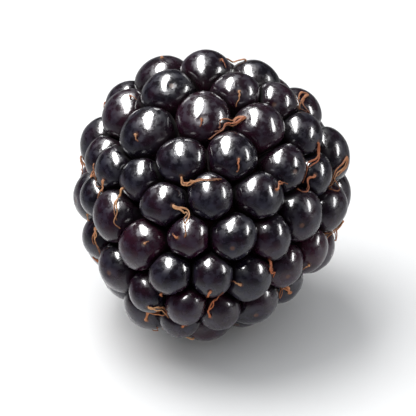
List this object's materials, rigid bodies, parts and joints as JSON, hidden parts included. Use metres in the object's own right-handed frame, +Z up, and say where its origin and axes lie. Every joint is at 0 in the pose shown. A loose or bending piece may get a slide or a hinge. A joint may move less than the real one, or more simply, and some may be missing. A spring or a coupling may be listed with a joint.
{
  "type": "bramble berry",
  "caption": "Ripe bramble berry as picked, lying on its side: a cone of pressed glossy drupelets, with a pit and the receptacle's end at the stem end.",
  "frame": {"origin": "on the surface that the berry lies on, under its middle", "axes": "+Z up, -Y towards the tip and +Y towards the stem end, +X to the right seen from the tip's side"},
  "size_m": [0.0211, 0.0226, 0.0205],
  "materials": {
    "drupelet_skin": "glossy near-black purple fruit skin",
    "receptacle_flesh": "moist pith stained crimson by juice"
  },
  "bodies": {
    "root": {"drupelets": "drupelet_skin", "receptacle": "receptacle_flesh"}
  },
  "joints": []
}
